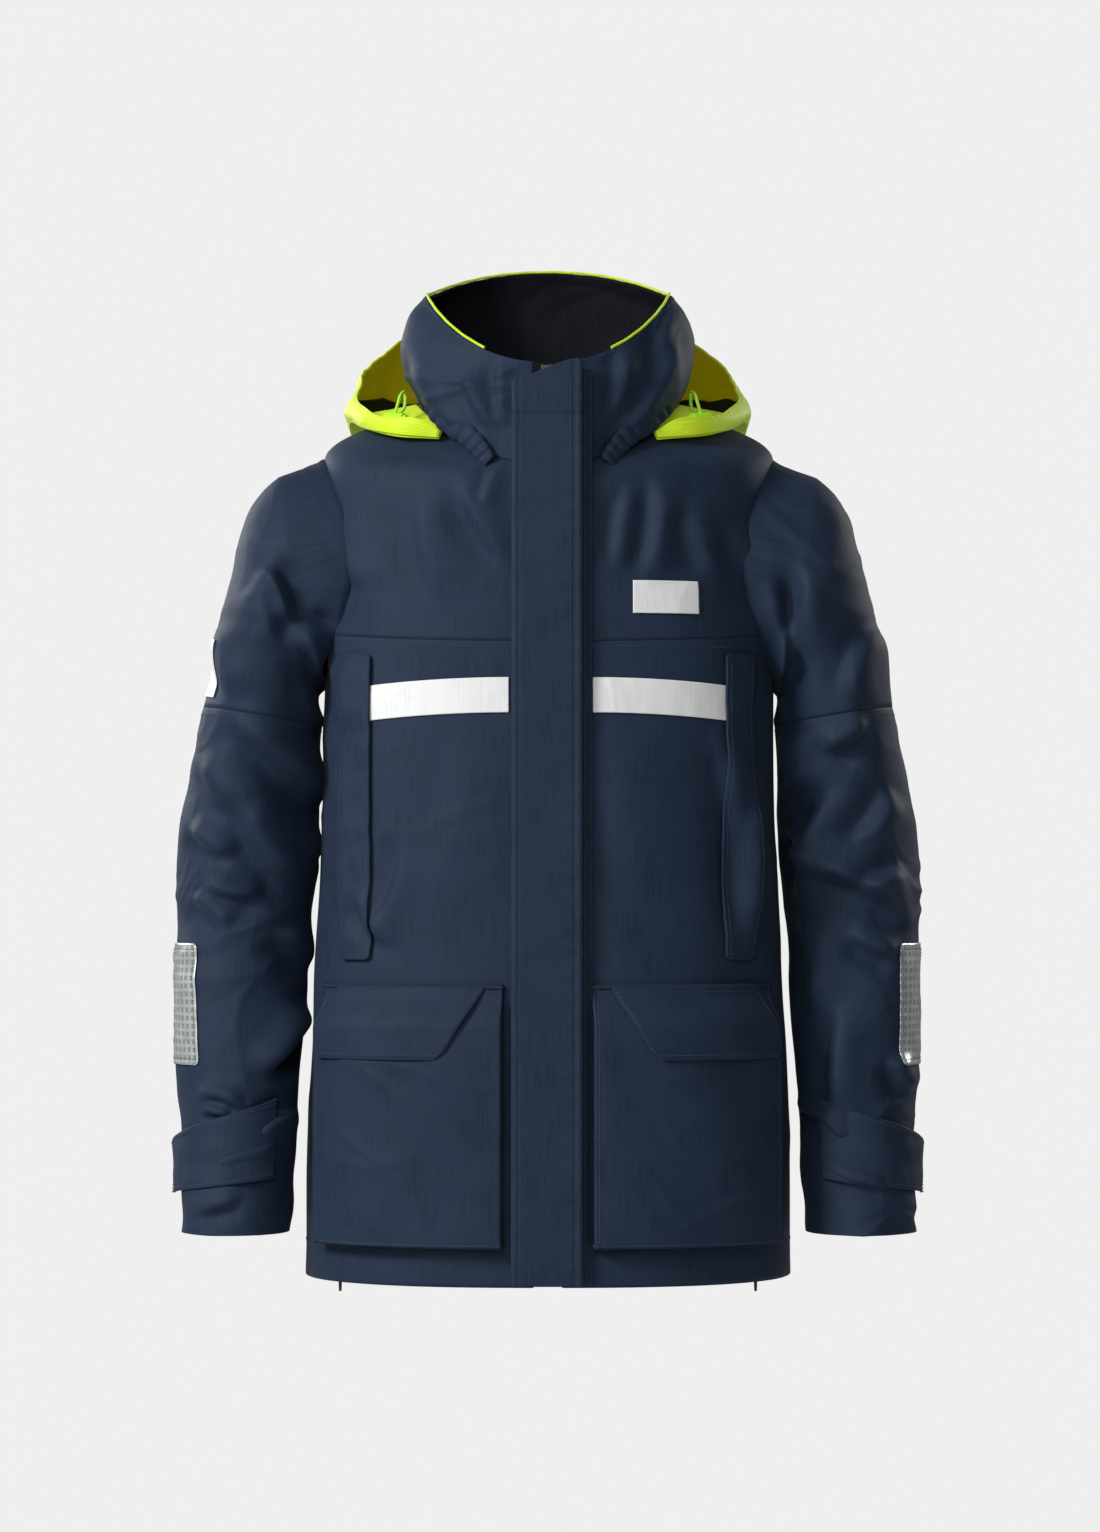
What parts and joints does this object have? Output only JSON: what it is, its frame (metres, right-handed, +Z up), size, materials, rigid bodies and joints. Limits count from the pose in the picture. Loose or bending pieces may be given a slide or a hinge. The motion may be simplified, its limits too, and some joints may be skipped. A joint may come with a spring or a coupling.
{
  "type": "foul weather jacket",
  "caption": "Hip-length sailing jacket with a stand collar, hood hanging open, storm flap over a zip, flapped cargo pockets, cuff tabs and reflectors.",
  "frame": {"origin": "the underside of the hanger loop inside the back of the neck, at the middle of its strap", "axes": "+Z up along the body, the front faces -Y, and the wearer's right is -X"},
  "size_m": [0.6594, 0.3637, 0.9044],
  "materials": {
    "navy_shell": "woven nylon with a water-repellent finish",
    "dark_lining": "matt taffeta",
    "high_visibility": "fluorescent woven polyester",
    "mesh_lining": "open warp-knit mesh",
    "white_tape": "heat-bonded film tape",
    "reflective": "retroreflective film",
    "moulded_black": "moulded",
    "moulded_lime": "moulded"
  },
  "bodies": {
    "jacket": {"front_panel_right": "navy_shell", "yoke_front_right": "navy_shell", "collar_gather_right": "navy_shell", "cargo_pocket_right": "navy_shell", "sleeve_cap_right": "navy_shell", "zip_half_right": "moulded_black", "lining_front_right": "dark_lining", "chest_tape_right": "white_tape", "hem_cord_lock_right": "moulded_black", "hem_cord_loop_right": "moulded_black", "front_panel_left": "navy_shell", "yoke_front_left": "navy_shell", "collar_gather_left": "navy_shell", "cargo_pocket_left": "navy_shell", "sleeve_cap_left": "navy_shell", "zip_half_left": "moulded_black", "lining_front_left": "dark_lining", "chest_tape_left": "white_tape", "hem_cord_lock_left": "moulded_black", "hem_cord_loop_left": "moulded_black", "back_panel": "navy_shell", "yoke_back": "navy_shell", "collar_shell": "navy_shell", "storm_flap_binding": "navy_shell", "lining_back": "dark_lining", "collar_lining": "dark_lining", "hanger_loop": "dark_lining", "collar_piping": "high_visibility", "hood_neck_panel": "high_visibility", "chest_badge": "white_tape", "sleeve_badge": "white_tape", "placket_loop_tape": "moulded_black"},
    "storm_flap": {"storm_flap": "navy_shell", "storm_flap_hook_tape": "moulded_black"},
    "zip_slider": {"zip_slider": "moulded_black"},
    "zip_puller": {"zip_puller": "moulded_black"},
    "hood": {"hood_shell": "high_visibility", "hood_mesh_lining": "mesh_lining", "hood_cord_lock_right": "moulded_lime", "hood_cord_loop_right": "moulded_lime", "hood_cord_lock_left": "moulded_lime", "hood_cord_loop_left": "moulded_lime"},
    "cargo_flap_right": {"cargo_flap_right": "navy_shell"},
    "hand_flap_right": {"hand_flap_right": "navy_shell"},
    "upper_sleeve_right": {"sleeve_upper_right": "navy_shell", "sleeve_elbow_right": "navy_shell"},
    "forearm_right": {"sleeve_lower_right": "navy_shell", "sleeve_reflector_right": "reflective"},
    "cuff_tab_right": {"cuff_tab_right": "navy_shell"},
    "hood_button_right": {"hood_lock_button_right": "moulded_lime"},
    "cargo_flap_left": {"cargo_flap_left": "navy_shell"},
    "hand_flap_left": {"hand_flap_left": "navy_shell"},
    "upper_sleeve_left": {"sleeve_upper_left": "navy_shell", "sleeve_elbow_left": "navy_shell"},
    "forearm_left": {"sleeve_lower_left": "navy_shell", "sleeve_reflector_left": "reflective"},
    "cuff_tab_left": {"cuff_tab_left": "navy_shell"},
    "hood_button_left": {"hood_lock_button_left": "moulded_lime"}
  },
  "joints": [
    {"name": "storm_flap_open", "type": "hinge", "parent": "jacket", "child": "storm_flap", "pos_m": [0.029, -0.19936, -0.02429], "axis": [0, 0.0499, 0.9988], "range_deg": [0, 95]},
    {"name": "zip_slide", "type": "slide", "parent": "jacket", "child": "zip_slider", "axis": [0, -0.0499, -0.9988], "range_m": [0, 0.74]},
    {"name": "zip_puller_swing", "type": "hinge", "parent": "zip_slider", "child": "zip_puller", "pos_m": [0, -0.2002, -0.0092], "axis": [0, 0.9988, -0.0499], "range_deg": [-20, 20]},
    {"name": "hood_raise", "type": "hinge", "parent": "jacket", "child": "hood", "pos_m": [0, -0.16536, -0.05744], "axis": [1, 0, 0], "range_deg": [0, 70], "deforming": ["hood_neck_panel"]},
    {"name": "cargo_flap_lift_right", "type": "hinge", "parent": "jacket", "child": "cargo_flap_right", "pos_m": [-0.05585, -0.23478, -0.52994], "axis": [-0.9204, 0.3909, 0], "range_deg": [0, 80]},
    {"name": "hand_flap_open_right", "type": "hinge", "parent": "jacket", "child": "hand_flap_right", "pos_m": [-0.17768, -0.16894, -0.50744], "axis": [0.0002, -0.0542, -0.9985], "range_deg": [0, 85]},
    {"name": "shoulder_swing_right", "type": "hinge", "parent": "jacket", "child": "upper_sleeve_right", "pos_m": [-0.205, -0.07536, -0.13444], "axis": [-1, 0, 0], "range_deg": [-25, 45], "deforming": ["sleeve_cap_right"]},
    {"name": "elbow_bend_right", "type": "hinge", "parent": "upper_sleeve_right", "child": "forearm_right", "pos_m": [-0.26, -0.06136, -0.40944], "axis": [-1, 0, 0], "range_deg": [0, 70], "deforming": ["sleeve_elbow_right"]},
    {"name": "cuff_tab_open_right", "type": "hinge", "parent": "forearm_right", "child": "cuff_tab_right", "pos_m": [-0.23633, -0.15341, -0.69544], "axis": [0.0322, 0.1864, 0.9819], "range_deg": [0, 75]},
    {"name": "hood_button_press_right", "type": "slide", "parent": "hood", "child": "hood_button_right", "axis": [-0.7576, 0.6398, 0.1292], "range_m": [0, 0.0025], "stiffness_N_per_m": 300},
    {"name": "cargo_flap_lift_left", "type": "hinge", "parent": "jacket", "child": "cargo_flap_left", "pos_m": [0.05585, -0.23478, -0.52994], "axis": [-0.9204, -0.3909, 0], "range_deg": [0, 80]},
    {"name": "hand_flap_open_left", "type": "hinge", "parent": "jacket", "child": "hand_flap_left", "pos_m": [0.17768, -0.16894, -0.50744], "axis": [0.0002, 0.0542, 0.9985], "range_deg": [0, 85]},
    {"name": "shoulder_swing_left", "type": "hinge", "parent": "jacket", "child": "upper_sleeve_left", "pos_m": [0.205, -0.07536, -0.13444], "axis": [-1, 0, 0], "range_deg": [-25, 45], "deforming": ["sleeve_cap_left"]},
    {"name": "elbow_bend_left", "type": "hinge", "parent": "upper_sleeve_left", "child": "forearm_left", "pos_m": [0.26, -0.06136, -0.40944], "axis": [-1, 0, 0], "range_deg": [0, 70], "deforming": ["sleeve_elbow_left"]},
    {"name": "cuff_tab_open_left", "type": "hinge", "parent": "forearm_left", "child": "cuff_tab_left", "pos_m": [0.23633, -0.15341, -0.69544], "axis": [0.0322, -0.1864, -0.9819], "range_deg": [0, 75]},
    {"name": "hood_button_press_left", "type": "slide", "parent": "hood", "child": "hood_button_left", "axis": [0.7576, 0.6398, 0.1292], "range_m": [0, 0.0025], "stiffness_N_per_m": 300}
  ]
}
